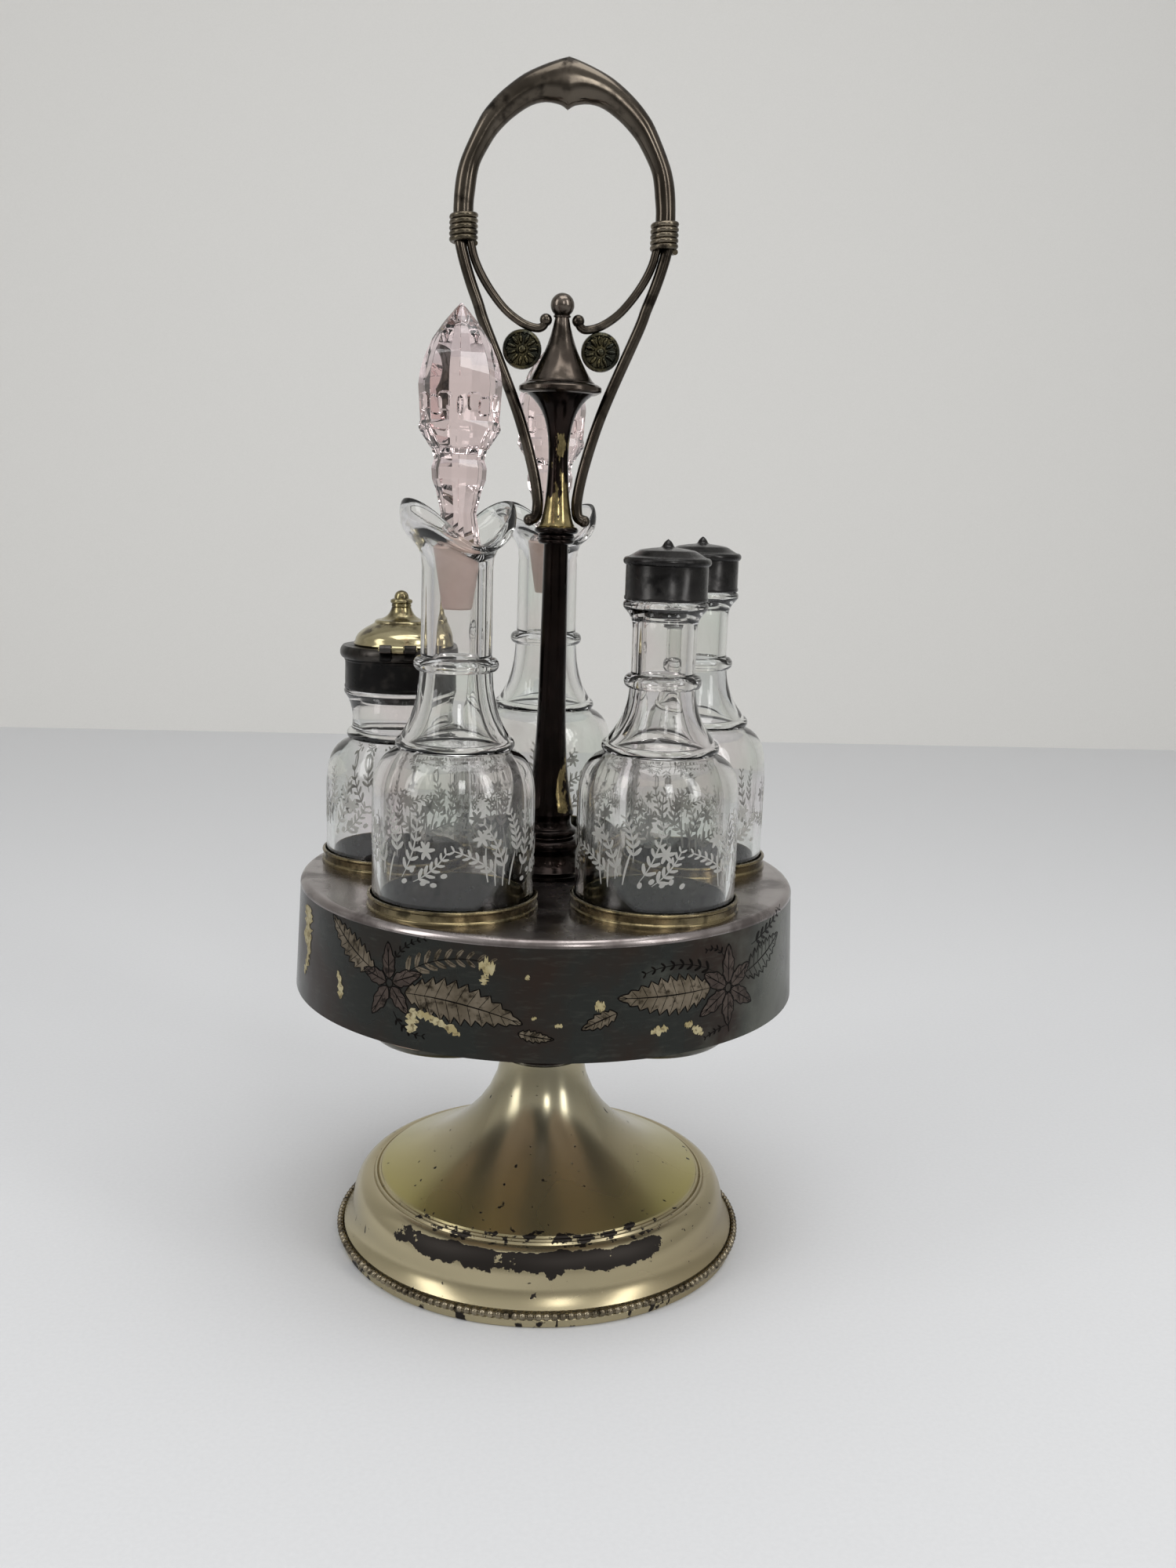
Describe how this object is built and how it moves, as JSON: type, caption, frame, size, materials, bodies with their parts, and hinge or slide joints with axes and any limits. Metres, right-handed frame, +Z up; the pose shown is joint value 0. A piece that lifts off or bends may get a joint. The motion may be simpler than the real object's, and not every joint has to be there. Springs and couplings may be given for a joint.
{
  "type": "cruet set",
  "caption": "Revolving castor set: spun pedestal foot, turning drum frame with carrying handle, glass oil bottles with stoppers, capped shakers and a hinged mustard jar.",
  "frame": {"origin": "centre of the foot's underside", "axes": "+Z up along the column, +X to the right in the plane of the handle, -Y towards the two front bottles"},
  "size_m": [0.1728, 0.1728, 0.3992],
  "materials": {
    "plated_foot": "worn silver plate, satin",
    "bead_wire": "tarnished",
    "bush_brass": "turned",
    "rod_steel": "drawn",
    "washer": "plain",
    "drum_band": "engraved, black tarnish",
    "drum_plate": "satin plate",
    "cup_brass": "drawn",
    "column_dark": "black tarnish",
    "finial_pewter": "polished, tarnished",
    "handle_pewter": "polished, tarnished",
    "bottle_glass": "blown and engraved",
    "stopper_glass": "cut",
    "cap_pewter": "dull dark pewter",
    "collar_black": "black tarnish",
    "lid_brass": "tarnished"
  },
  "bodies": {
    "foot": {"foot_shell": "plated_foot", "foot_bead_rim": "bead_wire", "foot_neck_bush": "bush_brass"},
    "frame": {"tie_rod": "rod_steel", "rod_washer": "rod_steel", "rod_nut": "rod_steel", "thrust_washer": "washer", "hub": "column_dark", "frame_band": "drum_band", "frame_plate": "drum_plate", "cup_front_left": "cup_brass", "cup_front_right": "cup_brass", "cup_right": "cup_brass", "cup_back": "cup_brass", "cup_left": "cup_brass", "column_base": "column_dark", "column": "column_dark", "column_collar": "column_dark", "trumpet": "column_dark", "finial_disc": "finial_pewter", "finial_cone": "finial_pewter", "finial_ball": "finial_pewter", "handle_loop": "handle_pewter", "handle_binding_left": "handle_pewter", "handle_binding_right": "handle_pewter", "outer_arm_left": "handle_pewter", "outer_arm_right": "handle_pewter", "inner_wire_left": "handle_pewter", "inner_wire_right": "handle_pewter", "medallion_left": "handle_pewter", "medallion_right": "handle_pewter"},
    "front_oil": {"oil_bottle_front": "bottle_glass"},
    "front_stopper": {"oil_stopper_front": "stopper_glass"},
    "back_oil": {"oil_bottle_back": "bottle_glass"},
    "back_stopper": {"oil_stopper_back": "stopper_glass"},
    "front_shaker": {"shaker_bottle_front": "bottle_glass"},
    "front_cap": {"shaker_cap_front": "cap_pewter"},
    "right_shaker": {"shaker_bottle_right": "bottle_glass"},
    "right_cap": {"shaker_cap_right": "cap_pewter"},
    "mustard": {"mustard_jar": "bottle_glass", "mustard_collar": "collar_black", "mustard_hinge_pin": "lid_brass"},
    "lid": {"mustard_lid": "lid_brass", "mustard_knob": "lid_brass"}
  },
  "joints": [
    {"name": "frame_spin", "type": "hinge", "parent": "foot", "child": "frame", "pos_m": [0, 0, 0.066], "axis": [0, 0, 1], "continuous": true},
    {"name": "front_oil_lift", "type": "slide", "parent": "frame", "child": "front_oil", "axis": [0, 0, 1], "range_m": [0, 0.06]},
    {"name": "front_stopper_lift", "type": "slide", "parent": "front_oil", "child": "front_stopper", "axis": [0, 0, 1], "range_m": [0, 0.045]},
    {"name": "back_oil_lift", "type": "slide", "parent": "frame", "child": "back_oil", "axis": [0, 0, 1], "range_m": [0, 0.06]},
    {"name": "back_stopper_lift", "type": "slide", "parent": "back_oil", "child": "back_stopper", "axis": [0, 0, 1], "range_m": [0, 0.045]},
    {"name": "front_shaker_lift", "type": "slide", "parent": "frame", "child": "front_shaker", "axis": [0, 0, 1], "range_m": [0, 0.06]},
    {"name": "front_cap_lift", "type": "slide", "parent": "front_shaker", "child": "front_cap", "axis": [0, 0, 1], "range_m": [0, 0.03]},
    {"name": "right_shaker_lift", "type": "slide", "parent": "frame", "child": "right_shaker", "axis": [0, 0, 1], "range_m": [0, 0.06]},
    {"name": "right_cap_lift", "type": "slide", "parent": "right_shaker", "child": "right_cap", "axis": [0, 0, 1], "range_m": [0, 0.03]},
    {"name": "mustard_lift", "type": "slide", "parent": "frame", "child": "mustard", "axis": [0, 0, 1], "range_m": [0, 0.06]},
    {"name": "lid_hinge", "type": "hinge", "parent": "mustard", "child": "lid", "pos_m": [-0.05231, -0.0058, 0.2099], "axis": [1, 0, 0], "range_deg": [0, 105]}
  ]
}
